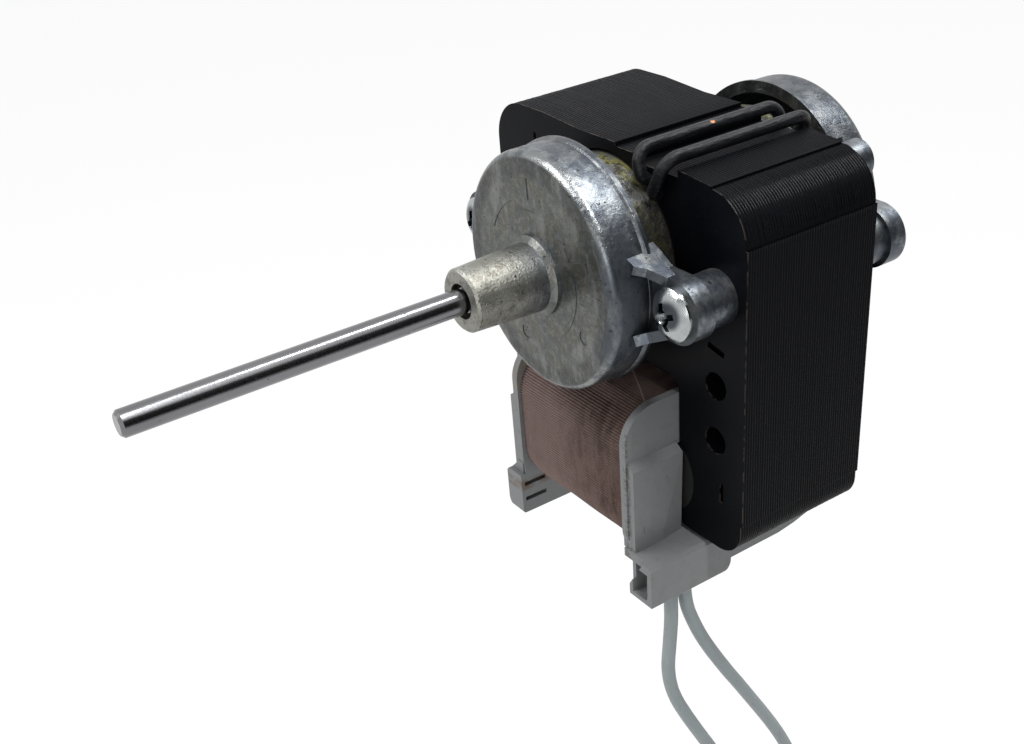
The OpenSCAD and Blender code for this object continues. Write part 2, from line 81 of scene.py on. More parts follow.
# shader sockets that can be written in sums
class Socket:
    def __init__(self, shop, out):
        self.shop, self.out = shop, out

    def maths(self, kind, *values):
        return self.shop.node("ShaderNodeMath", {"operation": kind}, list(values))

    def __add__(self, other): return self.maths("ADD", self, other)
    def __radd__(self, other): return self.maths("ADD", other, self)
    def __sub__(self, other): return self.maths("SUBTRACT", self, other)
    def __rsub__(self, other): return self.maths("SUBTRACT", other, self)
    def __mul__(self, other): return self.maths("MULTIPLY", self, other)
    def __rmul__(self, other): return self.maths("MULTIPLY", other, self)
    def __truediv__(self, other): return self.maths("DIVIDE", self, other)
    def __pow__(self, other): return self.maths("POWER", self, other)

    def pick(self, name):
        return Socket(self.shop, self.out.node.outputs[name])

    def above(self, edge, soft=0.02):
        return self.shop.node("ShaderNodeMapRange", {"interpolation_type": "SMOOTHSTEP"},
                              {"Value": self, "From Min": edge - soft, "From Max": edge + soft})

    def below(self, edge, soft=0.02):
        return 1 - self.above(edge, soft)


class Shop:
    def __init__(self, name):
        self.material = bpy.data.materials.new(name)
        self.material.use_nodes = True
        self.tree = self.material.node_tree
        self.tree.nodes.clear()
        self.end = self.tree.nodes.new("ShaderNodeOutputMaterial")
        self.shader = self.tree.nodes.new("ShaderNodeBsdfPrincipled")
        self.tree.links.new(self.shader.outputs[0], self.end.inputs["Surface"])
        place = self.node("ShaderNodeTexCoord", {}, {}).pick("Object")
        self.place = self.vector("SCALE", place, scale=1000)  # millimetres
        axes = self.node("ShaderNodeSeparateXYZ", {}, [self.place])
        self.x, self.y, self.z = (axes.pick(a) for a in "XYZ")

    def put(self, socket, value):
        if isinstance(value, Socket):
            self.tree.links.new(value.out, socket)
        elif isinstance(value, (tuple, list)) and socket.type == "RGBA" and len(value) == 3:
            socket.default_value = (*value, 1)
        else:
            socket.default_value = value

    def node(self, kind, settings, inputs):
        made = self.tree.nodes.new(kind)
        for key, value in settings.items():
            if key == "stops":
                ramp = made.color_ramp
                while len(ramp.elements) < len(value):
                    ramp.elements.new(0.5)
                for stop, (at, colour) in zip(ramp.elements, value):
                    stop.position = at
                    stop.color = (*colour, 1)
            else:
                setattr(made, key, value)
        if isinstance(inputs, dict):
            for key, value in inputs.items():
                self.put(made.inputs[key], value)
        else:
            for socket, value in zip(made.inputs, inputs):
                self.put(socket, value)
        return Socket(self, next(o for o in made.outputs if o.enabled))

    def vector(self, kind, a, b=None, scale=None):
        made = self.tree.nodes.new("ShaderNodeVectorMath")
        made.operation = kind
        self.put(made.inputs[0], a)
        if b is not None:
            self.put(made.inputs[1], b)
        if scale is not None:
            self.put(made.inputs["Scale"], scale)
        return Socket(self, made.outputs["Vector"])

    def stretched(self, *scale):
        return self.vector("MULTIPLY", self.place, scale)

    def clouds(self, size, detail=3, rough=0.55, place=None):
        return self.node("ShaderNodeTexNoise", {}, {"Vector": place or self.place, "Scale": 1 / size,
                                                    "Detail": detail, "Roughness": rough})

    def mix(self, amount, a, b, blend="MIX"):
        made = self.tree.nodes.new("ShaderNodeMix")
        made.data_type = "RGBA"
        made.blend_type = blend
        self.put(made.inputs["Factor"], amount)
        self.put(made.inputs[6], a)
        self.put(made.inputs[7], b)
        return Socket(self, made.outputs[2])

    def facing(self):
        turned = self.node("ShaderNodeSeparateXYZ", {}, [self.node("ShaderNodeNewGeometry", {}, {}).pick("Normal")])
        return self.node("ShaderNodeMath", {"operation": "ABSOLUTE"}, [turned.pick("Y")])

    def bump(self, height, depth, strength=1.0):
        return self.node("ShaderNodeBump", {}, {"Height": height, "Distance": depth * mm, "Strength": strength})

    def done(self, **sockets):
        for key, value in sockets.items():
            self.put(self.shader.inputs[key.replace("_", " ")], value)
        return self.material


def blackVarnish():
    m = Shop("blackVarnish")
    runs = m.clouds(6, 4)
    dust = m.clouds(0.45, 2)
    worn = m.clouds(1.6, 4, 0.6, m.stretched(1, 0.4, 1))
    onWall = m.facing().below(0.6, 0.1)
    edge = onWall * m.y.below(stack["front"] + 0.22, 0.10) * worn.above(0.50, 0.05)
    corner = m.x.above(22.5, 0.6) * m.z.above(8.0, 0.4) * onWall
    colour = m.mix(runs, (0.0008, 0.0010, 0.0017), (0.0024, 0.0027, 0.0040))
    colour = m.mix(dust.above(0.70, 0.05) * 0.2, colour, (0.03, 0.031, 0.036))
    colour = m.mix(edge * 0.5, colour, (0.085, 0.068, 0.055))
    return m.done(Base_Color=colour, Roughness=0.30 + runs * 0.16 + dust * 0.08 - corner * 0.20,
                  Specular_IOR_Level=0.065, Normal=m.bump(runs * 0.5 + dust * 0.10, 0.08))


def ringVarnish():
    m = Shop("ringVarnish")
    runs = m.clouds(2.5, 4)
    streak = m.clouds(1, 4, 0.65, m.stretched(2.6, 0.25, 2.6))
    chips = m.clouds(0.8, 2, place=m.stretched(1, 0.4, 1))
    nick = m.node("ShaderNodeVectorMath", {"operation": "DISTANCE"}, [m.place, (9.1, -20.6, 19.25)]) + chips * 0.7
    chip = nick.below(0.74, 0.08) + chips.above(0.80, 0.01)
    colour = m.mix(runs, (0.0025, 0.0028, 0.0040), (0.0080, 0.0084, 0.0105))
    colour = m.mix(streak.above(0.60, 0.06) * 0.35, colour, (0.026, 0.027, 0.030))
    colour = m.mix(chip, colour, (0.26, 0.12, 0.06))
    return m.done(Base_Color=colour, Roughness=0.24 + runs * 0.2, Metallic=chip * 0.9, Specular_IOR_Level=0.2,
                  Normal=m.bump(runs + streak * 0.5 + chips * 0.3, 0.25))


def bareSheet():
    m = Shop("bareSheet")
    stain = m.clouds(3, 4)
    lines = m.clouds(0.6, 3, 0.6, m.stretched(0.3, 3.0, 0.3))
    colour = m.mix(stain, (0.007, 0.007, 0.007), (0.020, 0.019, 0.018))
    return m.done(Base_Color=colour, Metallic=0.5, Roughness=0.45 + stain * 0.25,
                  Normal=m.bump(lines + stain * 0.4, 0.06))


def castZinc():
    m = Shop("castZinc")
    cloud = m.clouds(8, 5, 0.62)
    grain = m.clouds(0.30, 3, 0.65)
    pits = m.clouds(0.9, 2)
    dots = m.clouds(0.42, 2)
    mottle = m.clouds(1.3, 5, 0.7)
    patch = m.clouds(4.5, 5, 0.68)
    warm = m.clouds(3.2, 5, 0.7)
    flow = m.clouds(1, 4, 0.6, m.stretched(0.32, 0.32, 0.12))
    wall = m.facing().below(0.72, 0.10)
    out = (m.x * m.x + m.z * m.z) ** 0.5
    nose = out.below(5.4, 0.2) * m.y.below(-49.5, 0.4)
    rounding = m.facing().above(0.16, 0.08) * m.facing().below(0.90, 0.05) * out.above(16.4, 0.5) * out.below(19.4, 0.2)
    ears = out.above(19.5, 0.2)
    webs = out.above(17.2, 0.2) * (m.z * m.z).below(85, 70) * (1 - ears) * (m.x * m.x).above(190, 60)
    rim = m.y.above(stack["front"] - 8.9, 0.5) * out.above(17, 0.5) * out.below(21, 0.5)
    colour = m.mix(cloud, (0.072, 0.078, 0.078), (0.150, 0.158, 0.150))
    colour = m.mix(warm.above(0.52, 0.10) * 0.5, colour, (0.130, 0.112, 0.080))
    colour = m.mix(mottle.above(0.50, 0.12) * 0.35, colour, (0.050, 0.055, 0.055))
    colour = m.mix(mottle.below(0.44, 0.06) * 0.30, colour, (0.215, 0.220, 0.205))
    colour = m.mix(out.above(15.4, 0.6) * (0.25 + mottle * 0.5), colour, (0.040, 0.044, 0.047))
    # painted reflection: the cup walls get patchy light and dark colour by their facing, standing in for their
    # reflections
    patchyTone = m.mix(patch.above(0.49, 0.08), (0.225, 0.245, 0.262), (0.075, 0.087, 0.105))
    colour = m.mix(wall * 0.9, colour, patchyTone)
    colour = m.mix(ears * patch.above(0.44, 0.10) * 0.6, colour, (0.060, 0.070, 0.088))
    # painted shade: the webs between the cup and the ears are darkened to damp their bright reflections
    colour = m.mix(webs * 0.75, colour, (0.070, 0.080, 0.095))
    # painted highlight: the rounded front edge of the cup is painted as a bright band, broken by darker patches
    colour = m.mix(rounding * (1 - webs), colour, m.mix(patch.above(0.54, 0.06), (0.210, 0.220, 0.225), (0.080, 0.090, 0.100)))
    # painted shade: the cup's rim and the ear roots next to the stack are darkened
    colour = m.mix(rim * 0.5, colour, (0.032, 0.036, 0.042))
    colour = m.mix(nose, colour, m.mix(warm.above(0.56, 0.10) * 0.7, (0.255, 0.253, 0.225), (0.085, 0.075, 0.058)))
    colour = m.mix(flow.above(0.60, 0.10) * 0.4, colour, (0.27, 0.275, 0.265))
    colour = m.mix(dots.above(0.66, 0.04) * 0.45, colour, (0.030, 0.031, 0.030))
    colour = m.mix(pits.above(0.69, 0.03) * 0.7, colour, (0.030, 0.030, 0.028))
    return m.done(Base_Color=colour, Metallic=0.94 - patch.above(0.58, 0.1) * 0.25,
                  Roughness=0.25 + cloud * 0.12 + grain * 0.10 + wall * 0.03 - rounding * 0.12 + webs * 0.08,
                  Normal=m.bump((patch * 1.4 + grain * (0.20 + nose * 0.35) + flow * 0.6 + mottle * 0.25
                                 - pits.above(0.70, 0.04) * 0.5) * (1 - ears * 0.65 - webs * 0.75), 0.16))


def groundSteel():
    m = Shop("groundSteel")
    marks = m.clouds(1, 3, 0.7, m.stretched(0.15, 9.0, 0.15))
    patchyTone = m.clouds(9, 3)
    speck = m.clouds(0.5, 2, 0.5, m.stretched(1, 0.6, 1)).above(0.73, 0.02)
    colour = m.mix(patchyTone, (0.165, 0.165, 0.175), (0.235, 0.235, 0.245))
    colour = m.mix(speck * 0.7, colour, (0.04, 0.035, 0.03))
    return m.done(Base_Color=colour, Metallic=1.0, Roughness=0.150 + marks * 0.08 + patchyTone * 0.05 + speck * 0.3,
                  Normal=m.bump(marks, 0.004))


def platedSteel():
    m = Shop("platedSteel")
    patchyTone = m.clouds(1.2, 4)
    grain = m.clouds(0.2, 2)
    aside = m.node("ShaderNodeMath", {"operation": "ABSOLUTE"}, [m.x]) - 25.5
    # painted reflection: the middle of each screw head's dome is painted dark, standing in for a dark reflection
    paintedDarkCentre = ((aside * aside + (m.z - 0.5) * (m.z - 0.5)) ** 0.5).below(2.1, 0.5) * m.y.below(stack["front"] - 8, 0.1)
    colour = m.mix(patchyTone, (0.30, 0.32, 0.33), (0.50, 0.52, 0.52))
    colour = m.mix(paintedDarkCentre * 0.92, colour, (0.035, 0.042, 0.052))
    return m.done(Base_Color=colour, Metallic=1.0, Roughness=0.10 + patchyTone * 0.14,
                  Normal=m.bump(grain + patchyTone, 0.02))


def mouldedNylon():
    m = Shop("mouldedNylon")
    cloud = m.clouds(9, 3)
    grain = m.clouds(0.3, 2)
    soil = m.clouds(2.2, 4, 0.65)
    speck = m.clouds(0.55, 1).above(0.80, 0.01)
    scratch = m.clouds(1, 3, 0.6, m.stretched(2.2, 2.2, 0.35)).above(0.71, 0.012)
    outer = m.x.above(15.0, 0.15) * m.x.below(16.3, 0.2) * m.y.below(stack["front"] - 10.35, 0.12)
    seam = outer * m.clouds(0.8, 5, 0.7).above(0.50, 0.04)
    slot = m.x.below(-12, 0.4) * m.z.above(-48.6, 0.4) * m.z.below(-46.6, 0.5) * m.y.below(stack["front"] - 5, 2.0)
    rust = slot * m.clouds(2.4, 4, 0.65).above(0.48, 0.08)
    stain = m.x.below(-13, 0.5) * m.z.above(-30, 3.0) * soil.above(0.46, 0.12)
    colour = m.mix(cloud, (0.124, 0.129, 0.133), (0.165, 0.170, 0.172))
    colour = m.mix(soil.above(0.60, 0.08) * 0.2, colour, (0.085, 0.075, 0.052))
    colour = m.mix(stain * 0.6, colour, (0.19, 0.155, 0.095))
    colour = m.mix(rust * 0.7, colour, (0.085, 0.048, 0.022))
    colour = m.mix(seam * 0.6, colour, (0.045, 0.040, 0.030))
    colour = m.mix((speck + scratch * 0.8) * 0.7, colour, (0.022, 0.020, 0.019))
    return m.done(Base_Color=colour, Roughness=0.40 + cloud * 0.15, Specular_IOR_Level=0.35,
                  Normal=m.bump(grain + cloud * 0.8, 0.03))


def clothTape():
    m = Shop("clothTape")
    rib = m.node("ShaderNodeAttribute", {"attribute_name": "furrow"}, {}).pick("Fac")
    thread = m.clouds(0.28, 2, 0.6, m.stretched(0.8, 1, 1))
    soak = m.clouds(9, 4, 0.6)
    side = m.node("ShaderNodeMapRange", {}, {"Value": m.x, "From Min": -5.0, "From Max": 12.0})
    drop = m.clouds(1, 4, 0.68, m.stretched(0.55, 0.18, 0.16))
    colour = m.mix(soak, (0.128, 0.088, 0.080), (0.178, 0.127, 0.115))
    fold = m.node("ShaderNodeMath", {"operation": "ABSOLUTE"}, [m.x + m.y * 1.86 + 57.75])
    onTop = m.z.above(-25, 1.5)
    colour = m.mix(side * soak.above(0.40, 0.25) * 0.75, colour, (0.078, 0.044, 0.032))
    colour = m.mix(drop.above(0.54, 0.09) * (0.15 + side * 0.6), colour, (0.050, 0.025, 0.015))
    colour = m.mix(soak.above(0.57, 0.08) * drop.above(0.46, 0.12) * side * 0.9, colour, (0.022, 0.012, 0.009))
    colour = m.mix(thread.above(0.52, 0.15) * 0.25, colour, (0.225, 0.168, 0.152))
    # painted shadow: the tape's top past the fold line is darkened where the stator's shadow falls
    colour = m.mix((m.x + m.y * 1.86).above(-57.75, 0.2) * onTop * 0.45, colour, (0.045, 0.034, 0.031))
    # painted shade: the furrows between the ribs are darkened
    colour = m.mix(rib * 0.68, colour, (0.036, 0.023, 0.020))
    colour = m.mix(fold.below(0.26, 0.12) * onTop * 0.6, colour, (0.25, 0.20, 0.185))
    return m.done(Base_Color=colour, Roughness=0.66 + thread * 0.2, Specular_IOR_Level=0.2,
                  Normal=m.bump(thread, 0.06))


def enamelCopper():
    m = Shop("enamelCopper")
    turns = m.clouds(1, 2, 0.5, m.stretched(3.0, 0.1, 0.1))
    colour = m.mix(turns, (0.28, 0.09, 0.03), (0.50, 0.20, 0.08))
    return m.done(Base_Color=colour, Metallic=0.8, Roughness=0.3, Normal=m.bump(turns, 0.05))


def bareCopper():
    m = Shop("bareCopper")
    tarnish = m.clouds(0.6, 3)
    colour = m.mix(tarnish, (0.50, 0.24, 0.12), (0.72, 0.40, 0.24))
    return m.done(Base_Color=colour, Metallic=1.0, Roughness=0.25 + tarnish * 0.15)


def sinteredBronze():
    m = Shop("sinteredBronze")
    grain = m.clouds(0.25, 3)
    oil = m.clouds(2.5, 3)
    colour = m.mix(oil, (0.30, 0.19, 0.08), (0.46, 0.31, 0.15))
    return m.done(Base_Color=colour, Metallic=0.85, Roughness=0.35 + grain * 0.2, Normal=m.bump(grain, 0.05))


def oiledFelt():
    m = Shop("oiledFelt")
    wool = m.clouds(0.4, 4, 0.7)
    colour = m.mix(wool, (0.20, 0.16, 0.09), (0.34, 0.28, 0.17))
    return m.done(Base_Color=colour, Roughness=0.85, Sheen_Weight=0.3, Normal=m.bump(wool, 0.2))


def varnishedCage():
    m = Shop("varnishedCage")
    pool = m.clouds(3.6, 5, 0.65)
    drip = m.clouds(1.5, 4, 0.65)
    flake = m.clouds(0.6, 3, 0.6)
    shade = m.x.above(11.0, 2.0)
    colour = m.mix(drip, (0.050, 0.053, 0.050), (0.125, 0.128, 0.118))
    colour = m.mix(pool.above(0.54, 0.05) * 0.85, colour, (0.150, 0.142, 0.048))
    colour = m.mix(drip.above(0.54, 0.05) * 0.85, colour, (0.018, 0.016, 0.012))
    colour = m.mix(flake.above(0.68, 0.03) * 0.8, colour, (0.30, 0.30, 0.27))
    colour = m.mix(shade * 0.85, colour, (0.010, 0.009, 0.008))
    return m.done(Base_Color=colour, Metallic=0.35 - shade * 0.3, Roughness=0.28 + drip * 0.25,
                  Specular_IOR_Level=0.25, Normal=m.bump(pool + drip * 0.7 + flake * 0.3, 0.3))


def turnedNylon():
    m = Shop("turnedNylon")
    rings = m.clouds(1, 2, 0.6, m.stretched(0.3, 5.0, 0.3))
    colour = m.mix(rings, (0.52, 0.49, 0.40), (0.62, 0.60, 0.50))
    return m.done(Base_Color=colour, Roughness=0.5, Normal=m.bump(rings, 0.04))


def punchedFibre():
    m = Shop("punchedFibre")
    wool = m.clouds(0.5, 3)
    colour = m.mix(wool, (0.13, 0.07, 0.035), (0.22, 0.13, 0.07))
    return m.done(Base_Color=colour, Roughness=0.6 + wool * 0.2, Normal=m.bump(wool, 0.05))


def terminalBrass():
    m = Shop("terminalBrass")
    patchyTone = m.clouds(0.8, 3)
    colour = m.mix(patchyTone, (0.42, 0.29, 0.09), (0.62, 0.46, 0.17))
    return m.done(Base_Color=colour, Metallic=1.0, Roughness=0.25 + patchyTone * 0.15, Normal=m.bump(patchyTone, 0.02))


def leadJacket():
    m = Shop("leadJacket")
    soil = m.clouds(5, 4, 0.6)
    scuff = m.clouds(1, 2, 0.6, m.stretched(1.5, 1.5, 0.3))
    colour = m.mix(soil, (0.175, 0.200, 0.207), (0.225, 0.255, 0.262))
    colour = m.mix(scuff.above(0.66, 0.05) * 0.3, colour, (0.13, 0.145, 0.145))
    return m.done(Base_Color=colour, Roughness=0.42 + soil * 0.12, Specular_IOR_Level=0.35,
                  Normal=m.bump(scuff + soil * 0.6, 0.04))


looks = {
    "black_varnish": blackVarnish(), "varnished_copper": ringVarnish(), "bare_sheet": bareSheet(),
    "zinc": castZinc(), "ground_steel": groundSteel(), "steel": platedSteel(), "nylon": mouldedNylon(),
    "cloth_tape": clothTape(), "copper": enamelCopper(), "bronze": sinteredBronze(),
    "felt": oiledFelt(), "varnished_aluminium": varnishedCage(), "spacer_nylon": turnedNylon(),
    "fibre": punchedFibre(), "terminal_brass": terminalBrass(), "insulation": leadJacket(),
    "bare_copper": bareCopper(),
}
slotOf = {part["node"]: part["material_slot"] for part in frame["record"]["subparts"]}
for name, ob in frame["nodes"].items():
    ob.data.materials.clear()
    ob.data.materials.append(looks[slotOf[name]])
print("finishes on", len(frame["nodes"]), "nodes")

heads = frame["nodes"]["through_screws"].data
heads.shade_smooth()
heads.set_sharp_from_angle(angle=math.radians(32))

# worn edges of the castings and mouldings, in millimetres
wornEdges = {"front_bracket": 0.22, "rear_bracket": 0.22, "bobbin": 0.12}
for name, width in wornEdges.items():
    bevel = frame["nodes"][name].modifiers.new("wornEdge", "BEVEL")
    bevel.width = width * mm
    bevel.segments = 2
    bevel.limit_method = "ANGLE"
    bevel.angle_limit = math.radians(40)
    bevel.harden_normals = True
print("edges worn")


def addPiece(name, mesh, body, slotName, *nodes):
    ob = bpy.data.objects.new(name, mesh)
    scene.collection.objects.link(ob)
    if not ob.data.materials:
        ob.data.materials.append(looks[slotName])
    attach(ob, body)
    if nodes:
        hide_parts(*nodes)
    return ob


def smoothByAngle(mesh, degrees):
    work = bmesh.new()
    work.from_mesh(mesh)
    limit = math.radians(degrees)
    for face in work.faces:
        face.smooth = True
    for edge in work.edges:
        edge.smooth = len(edge.link_faces) == 2 and edge.calc_face_angle(0) < limit
    work.to_mesh(mesh)
    work.free()


leads = {
    "diameter": 2.4, "bared": 5.0, "strands": 7, "strandRadius": 0.24,
    "exits": {"lead_a": (19, -4.9, -53.5), "lead_b": (19, -1.9, -53.5)},
    "lead_a": [
        (19, -4.9, -52.3), (19, -4.9, -56.5), (19, -4.9, -61), (19, -5.3, -66), (19, -5.7, -71),
        (19, -5.2, -75.5), (19, -3.9, -79.8), (19.1, -2, -84.2), (19.2, 0, -88.4), (19.2, 2, -92.4),
        (19.3, 4, -96.4), (19.4, 6.1, -101), (19.6, 7.9, -106), (19.8, 9.2, -111.4), (20, 10.1, -117),
        (20.1, 10.7, -123), (20.1, 11, -129), (20.1, 11.1, -135), (20, 11.1, -141.5), (20, 11.1, -148),
        (20, 11.1, -155), (20, 11.1, -162), (20, 11.1, -169), (20, 11.1, -176), (20, 11.1, -183),
        (20, 11.1, -190), (20, 11.1, -197.5)],
    "lead_b": [
        (19, -1.9, -52.3), (19, -1.9, -56), (19, -1.3, -59.9), (19, 0.1, -64), (19, 1.8, -68),
        (19, 3.8, -72), (19, 6, -76), (19, 8.4, -80.2), (19, 10.8, -84.2), (19, 13.2, -88.3),
        (19, 15.6, -92.4), (19.1, 18, -96.6), (19.2, 20.4, -101), (19.3, 22.6, -105.4),
        (19.4, 24.6, -110), (19.6, 26.4, -115), (19.8, 27.8, -120.2), (20, 28.8, -125.8),
        (20.1, 29.4, -131.6), (20.1, 29.7, -137.6), (20.1, 29.8, -144), (20, 29.8, -151),
        (20, 29.8, -158), (20, 29.8, -165), (20, 29.8, -172), (20, 29.8, -179), (20, 29.8, -186),
        (20, 29.8, -192)],
}


def smoothPath(points, steps=4):
    path = []
    for i in range(len(points) - 1):
        a, b, c, d = (points[min(max(i + k, 0), len(points) - 1)] for k in (-1, 0, 1, 2))
        for n in range(steps):
            t = n / steps
            path.append(0.5 * ((2 * b) + (c - a) * t + (2 * a - 5 * b + 4 * c - d) * t * t
                               + (3 * b - a - 3 * c + d) * t ** 3))
    return path + [points[-1]]


def addCurve(name, paths, radius, slotName, turn=4):
    data = bpy.data.curves.new(name, "CURVE")
    data.dimensions = "3D"
    data.bevel_depth = radius
    data.bevel_resolution = turn
    data.use_fill_caps = True
    for path in paths:
        spline = data.splines.new("POLY")
        spline.points.add(len(path) - 1)
        for point, co in zip(spline.points, path):
            point.co = (*co, 1)
    ob = bpy.data.objects.new(name, data)
    scene.collection.objects.link(ob)
    data.materials.append(looks[slotName])
    return ob


def hangLead(node, d):
    fromFront = Vector((0, stack["front"], 0))
    route = smoothPath([(Vector(q) + fromFront) * mm for q in d[node]])
    length = sum((b - a).length for a, b in zip(route, route[1:]))
    jacket = list(route)
    cut = 0
    while cut < d["bared"] * mm:
        last = jacket.pop()
        cut += (last - jacket[-1]).length
    ob = addCurve(node + "Jacket", [jacket], d["diameter"] / 2 * mm, "insulation", 5)
    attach(ob, "frame")
    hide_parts(node)
    end, foot = jacket[-1], route[-1]
    bunch = []
    for i in range(d["strands"]):
        turn, out = math.tau * i / 6, 0 if i == 6 else 0.5 * mm
        twist = [(turn + 0.5 * k, out) for k in range(6)]
        tip = foot + Vector((0, 0, random.uniform(0.1, 0.5) * mm))
        bunch.append([end.lerp(tip, k / 5) + Vector((math.cos(a) * o, math.sin(a) * o, 0.6 * mm * (k == 0)))
                      for k, (a, o) in enumerate(twist)])
    strands = addCurve(node + "Strands", bunch, d["strandRadius"] * mm, "copper", 2)
    strands.data.materials[0] = looks["bare_copper"]
    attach(strands, "frame")


for node in ("lead_a", "lead_b"):
    hangLead(node, leads)
print("leads hung")


# the stator's sheets: the CAD walls are cut into sheets, with a groove at each joint
sheets = {
    "count": 51, "stagger": 0.02,
    "depth": {"corner": 0.16, "step": 0.26, "crown": 0.07, "crownLeft": 0.11, "foot": 0.10, "side": 0.003},
    "profile": ((0, 1.0), (0.18, 0.36), (0.5, 0.0), (0.82, 0.36)),  # place across one sheet, share of the depth
}


def grooveDepth(x, z, d):
    if math.hypot(x, z) < 16.2 or abs(x) < 13.5 and z < 15.4:
        return 0
    if x > 22.9 and z > 8.4:
        return d["corner"] if 8.7 < z < 15.7 else d["step"]
    if x < -22.9 and z > 11:
        return d["crownLeft"]
    if z > 15.4:
        return d["step"] if abs(x - 1.6) < 0.1 else d["crown"]
    if z < -37.9 and abs(x) > 14:
        return d["foot"]
    return d["side"] if abs(x) > 29.5 else 0


def stackSheets(d):
    source = frame["nodes"]["stator_core"].data
    front, rear = stack["front"] * mm, stack["rear"] * mm
    step = (rear - front) / d["count"]
    slack = [random.uniform(-1, 1) * d["stagger"] for k in range(d["count"])]
    ids, places, faces, wall = {}, [], [], []

    def corner(co):
        key = tuple(round(c * 1e7) for c in co)
        if key not in ids:
            ids[key] = len(places)
            places.append(Vector(co))
        return ids[key]

    source.calc_loop_triangles()
    outward = {}
    for tri in source.loop_triangles:
        cos = [source.vertices[i].co for i in tri.vertices]
        atFront = [abs(c.y - front) < 1e-6 for c in cos]
        atRear = [abs(c.y - rear) < 1e-6 for c in cos]
        if any(atFront) and any(atRear):
            normal = (cos[1] - cos[0]).cross(cos[2] - cos[0]).normalized()
            for i in range(3):
                a, b = i, (i + 1) % 3
                if atFront[a] and atFront[b]:
                    wall.append((corner(cos[a]), corner(cos[b])))
                    for c in wall[-1]:
                        outward[c] = outward.get(c, Vector()) + normal
        else:
            faces.append([corner(c) for c in cos])
    rings = {}
    for c, normal in outward.items():
        normal.normalize()
        at = places[c]
        depth = grooveDepth(at.x / mm, at.z / mm, d["depth"])
        ring = [c]
        if depth:
            loose = min(depth / 0.12, 1)
            for k in range(d["count"]):
                for across, share in d["profile"]:
                    if k or across:
                        off = slack[k] * loose * (share < 1) - depth * share - 0.02
                        places.append(Vector((at.x, front + (k + across) * step, at.z)) + normal * off * mm)
                        ring.append(len(places) - 1)
        places.append(Vector((at.x, rear, at.z)))
        rings[c] = ring + [len(places) - 1]
    for a, b in wall:
        left, right = rings[a], rings[b]
        if len(left) == len(right):
            faces += [(left[k], right[k], right[k + 1], left[k + 1]) for k in range(len(left) - 1)]
        elif len(left) < len(right):
            faces += [(left[0], right[k], right[k + 1]) for k in range(len(right) - 1)]
            faces.append((left[0], right[-1], left[1]))
        else:
            faces += [(left[k], right[0], left[k + 1]) for k in range(len(left) - 1)]
            faces.append((right[0], right[1], left[-1]))
    mesh = bpy.data.meshes.new("stackSheets")
    mesh.from_pydata(places, [], faces)
    smoothByAngle(mesh, 38)
    return addPiece("stackSheets", mesh, "frame", "black_varnish", "stator_core")


print("stack of", len(stackSheets(sheets).data.polygons), "faces")


# cloth tape round the coil: threads lie along X, the ends sink towards the flanges
tape = {
    "half": 14.35, "reach": 10.4, "top": -20.6, "bottom": -47.4, "corner": 8.0,
    "thread": 0.5, "rib": 0.10, "crown": 0.25, "sag": 0.10,
}


def tapeSection(d):
    front, rear = stack["front"] - d["reach"], stack["rear"] + d["reach"]
    r = d["corner"]
    centres = [(front + r, d["top"] - r, 90), (front + r, d["bottom"] + r, 180),
               (rear - r, d["bottom"] + r, 270), (rear - r, d["top"] - r, 0)]
    points = []
    for n, (y, z, turn) in enumerate(centres):
        arc = [math.radians(turn + 90 * k / 128) for k in range(129)]
        ring = [(y + r * math.cos(a), z + r * math.sin(a), math.cos(a), math.sin(a)) for a in arc]
        nextY, nextZ, nextTurn = centres[(n + 1) % 4]
        a = math.radians(nextTurn)
        far = (nextY + r * math.cos(a), nextZ + r * math.sin(a))
        last = ring[-1]
        span = math.dist(last[:2], far)
        steps = int(span / 0.1)
        points += ring + [(last[0] + (far[0] - last[0]) * k / steps, last[1] + (far[1] - last[1]) * k / steps,
                           last[2], last[3]) for k in range(1, steps)]
    return points


def wrapTape(d):
    section = tapeSection(d)
    around, travelled = [0], 0
    for a, b in zip(section, section[1:] + section[:1]):
        travelled += math.dist(a[:2], b[:2])
        around.append(travelled)
    ribs = round(travelled / d["thread"])
    places, faces, furrow = [], [], []
    across = [-1 + 2 * k / 24 for k in range(25)]
    for u in across:
        x = u * d["half"]
        sink = d["sag"] * max(0, abs(u) - 0.8) ** 2 / 0.04 - d["crown"] * (1 - u * u) * 0.4
        for k, (y, z, ny, nz) in enumerate(section):
            wave = math.cos(math.tau * ribs * around[k] / travelled)
            soft = noise.noise(Vector((x * 0.15, y * 0.15, z * 0.15))) * 0.12
            out = d["rib"] * wave - sink + soft - 0.12
            places.append((x * mm, (y + ny * out) * mm, (z + nz * out) * mm))
            furrow.append(0.5 - 0.5 * wave)
    n = len(section)
    for i in range(len(across) - 1):
        for k in range(n):
            j = (k + 1) % n
            faces.append((i * n + k, i * n + j, i * n + n + j, i * n + n + k))
    mesh = bpy.data.meshes.new("coilWrap")
    mesh.from_pydata(places, [], faces)
    mesh.attributes.new("furrow", "FLOAT", "POINT").data.foreach_set("value", furrow)
    smoothByAngle(mesh, 60)
    return addPiece("coilWrap", mesh, "frame", "cloth_tape", "coil_tape")


wrapTape(tape)
print("coil taped")


